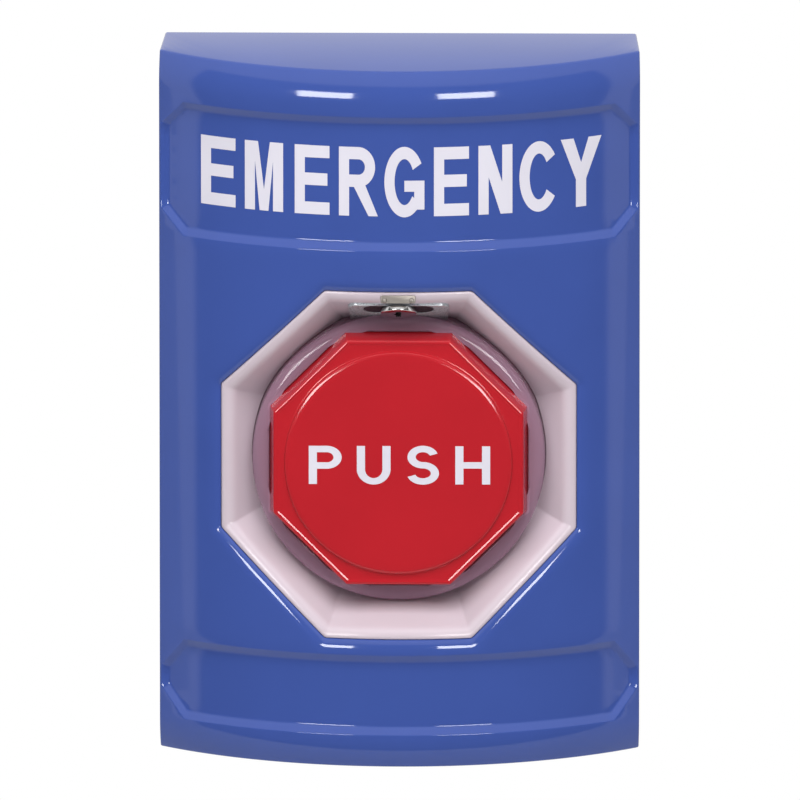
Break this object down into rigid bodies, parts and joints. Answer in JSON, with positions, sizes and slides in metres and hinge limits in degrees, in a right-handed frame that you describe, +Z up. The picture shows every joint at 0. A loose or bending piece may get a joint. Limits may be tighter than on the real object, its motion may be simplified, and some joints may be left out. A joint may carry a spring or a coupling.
{
  "type": "panic button",
  "caption": "Wall-mounted panic button station: bowed blue cover, octagonal white recess, clear round collar, red octagonal push button and a key lock that resets it.",
  "frame": {"origin": "on the wall plane, behind the middle of the cover and midway between the two box screw holes", "axes": "+Z up, +X to the right as seen from the front, +Y into the wall; the front faces -Y"},
  "size_m": [0.0824, 0.0535, 0.123],
  "materials": {
    "blue_plastic": "gloss",
    "white_plastic": "gloss",
    "clear_plastic": "clear gloss",
    "red_plastic": "gloss",
    "black_plastic": "fine matt",
    "grey_plastic": "fine matt",
    "chrome": "polished",
    "dark_zinc": "satin",
    "spring_steel": "bright drawn",
    "zinc_steel": "zinc plated",
    "brass": "bright"
  },
  "bodies": {
    "station": {"front_cover": "blue_plastic", "octagon_bezel": "white_plastic", "clear_collar": "clear_plastic", "return_spring": "spring_steel", "mechanism_housing": "grey_plastic", "housing_screws": "zinc_steel", "block_screws": "zinc_steel", "contact_block_left": "black_plastic", "contact_block_right": "black_plastic", "contact_spring_left": "spring_steel", "contact_spring_right": "spring_steel", "terminal_screws": "brass", "terminal_clamps": "zinc_steel", "lock_plate": "chrome", "lock_barrel": "dark_zinc", "lock_clip": "spring_steel", "latch_spring": "spring_steel", "back_plate": "zinc_steel", "cover_screws": "zinc_steel"},
    "button": {"button_cap": "red_plastic", "plunger_stem": "black_plastic"},
    "contact_left": {"contact_plunger_left": "red_plastic"},
    "contact_right": {"contact_plunger_right": "red_plastic"},
    "lock_core": {"lock_plug": "chrome", "lock_cam": "zinc_steel", "cam_screw": "zinc_steel"},
    "latch": {"latch_slide": "zinc_steel"}
  },
  "joints": [
    {"name": "button_push", "type": "slide", "parent": "station", "child": "button", "axis": [0, 1, 0], "range_m": [0, 0.005], "stiffness_N_per_m": 900, "springref_m": -0.002, "deforming": ["return_spring"]},
    {"name": "contact_left_push", "type": "slide", "parent": "station", "child": "contact_left", "axis": [0, 1, 0], "range_m": [0, 0.005], "stiffness_N_per_m": 300, "deforming": ["contact_spring_left"]},
    {"name": "contact_right_push", "type": "slide", "parent": "station", "child": "contact_right", "axis": [0, 1, 0], "range_m": [0, 0.005], "stiffness_N_per_m": 300, "deforming": ["contact_spring_right"]},
    {"name": "lock_turn", "type": "hinge", "parent": "station", "child": "lock_core", "pos_m": [0, -0.02707, 0.01843], "axis": [0, 0.4406, 0.8977], "range_deg": [0, 90]},
    {"name": "latch_shift", "type": "slide", "parent": "station", "child": "latch", "axis": [-1, 0, 0], "range_m": [0, 0.002], "deforming": ["latch_spring"]}
  ],
  "couplings": [
    {"joint": "contact_left_push", "follows": "button_push", "ratio": 1},
    {"joint": "contact_right_push", "follows": "button_push", "ratio": 1},
    {"joint": "lock_turn", "follows": "latch_shift", "rad_per_m": 785.4}
  ]
}
